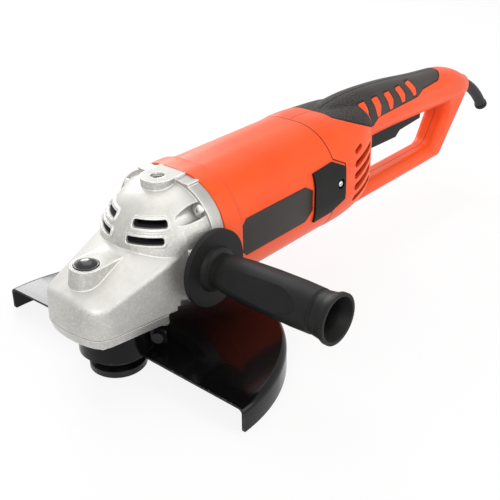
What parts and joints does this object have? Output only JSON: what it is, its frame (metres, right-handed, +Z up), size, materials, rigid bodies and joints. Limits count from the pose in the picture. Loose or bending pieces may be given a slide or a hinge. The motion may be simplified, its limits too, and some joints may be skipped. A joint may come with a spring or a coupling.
{
  "type": "angle grinder",
  "caption": "Two-handed angle grinder with cast gear head, half-disc guard, spindle lock button, side handle and closed rear handle with a finger trigger.",
  "frame": {"origin": "on the spindle axis, at the face of the inner flange that the disc seats on", "axes": "+X runs back along the motor axis to the rear handle, +Y is the tool's right side, +Z is up along the spindle"},
  "size_m": [0.5901, 0.2817, 0.1333],
  "materials": {
    "cast_aluminium": "cast, satin",
    "gasket": "matte",
    "zinc": "bright zinc plate",
    "bearing_steel": "ground",
    "gear_steel": "hardened, satin",
    "spring_steel": "bright wire",
    "black_steel": "black oxide",
    "guard_paint": "gloss black paint",
    "orange_plastic": "satin moulded",
    "black_plastic": "matte moulded",
    "cover_plastic": "satin moulded",
    "soft_rubber": "soft overmould",
    "lamination": "varnished laminations",
    "copper": "varnished copper",
    "brass": "drawn",
    "carbon": "pressed graphite"
  },
  "bodies": {
    "housing": {"gear_housing": "cast_aluminium", "gear_cover": "cast_aluminium", "cover_gasket": "gasket", "cover_screws": "zinc", "flange_screws": "zinc", "spindle_bearing_outer": "bearing_steel", "bearing_retainer": "bearing_steel", "needle_bush": "bearing_steel", "motor_housing": "orange_plastic", "front_bearing_outer": "bearing_steel", "bearing_plate": "bearing_steel", "rear_bearing_outer": "bearing_steel", "rear_bearing_sleeve": "soft_rubber", "air_guide_ring": "black_plastic", "stator_core": "lamination", "field_coils": "copper", "brush_holders": "brass", "carbon_brushes": "carbon", "brush_springs": "spring_steel", "brush_cover_left": "cover_plastic", "brush_cover_right": "cover_plastic", "brush_cover_screws": "zinc", "handle_shell_left": "orange_plastic", "handle_shell_right": "orange_plastic", "handle_screws": "zinc", "grip_skin": "soft_rubber", "switch_body": "black_plastic", "trigger_pin": "bearing_steel", "trigger_spring": "spring_steel", "side_handle": "black_plastic", "side_handle_stud": "zinc", "cord_sleeve": "soft_rubber", "lock_spring": "spring_steel"},
    "spindle": {"spindle": "black_steel", "crown_gear": "gear_steel", "inner_flange": "black_steel", "flange_nut": "black_steel", "spindle_bearing_inner": "bearing_steel", "spindle_spacer": "bearing_steel"},
    "armature": {"armature_shaft": "bearing_steel", "pinion": "gear_steel", "pinion_nut": "bearing_steel", "armature_core": "lamination", "armature_windings": "copper", "commutator": "copper", "fan": "black_plastic", "front_bearing_inner": "bearing_steel", "rear_bearing_inner": "bearing_steel"},
    "guard": {"guard": "guard_paint", "guard_clamp_screw": "black_steel"},
    "lock_button": {"lock_button": "black_plastic", "lock_pin": "bearing_steel"},
    "trigger": {"trigger": "black_plastic"}
  },
  "joints": [
    {"name": "spindle_spin", "type": "hinge", "parent": "housing", "child": "spindle", "pos_m": [0, 0, 0], "axis": [0, 0, 1], "continuous": true},
    {"name": "armature_spin", "type": "hinge", "parent": "housing", "child": "armature", "pos_m": [0.1, 0, 0.072], "axis": [1, 0, 0], "continuous": true},
    {"name": "guard_swivel", "type": "hinge", "parent": "housing", "child": "guard", "pos_m": [0, 0, 0], "axis": [0, 0, 1], "range_deg": [-90, 90]},
    {"name": "lock_press", "type": "slide", "parent": "housing", "child": "lock_button", "axis": [0, 0, -1], "range_m": [0, 0.004], "stiffness_N_per_m": 800, "springref_m": -0.004, "deforming": ["lock_spring"]},
    {"name": "trigger_squeeze", "type": "hinge", "parent": "housing", "child": "trigger", "pos_m": [0.388, 0, 0.082], "axis": [0, 1, 0], "range_deg": [0, 4.5], "stiffness_Nm_per_rad": 3, "springref_deg": -5.73, "deforming": ["trigger_spring"]}
  ],
  "couplings": [
    {"joint": "armature_spin", "follows": "spindle_spin", "ratio": 3.6364}
  ]
}
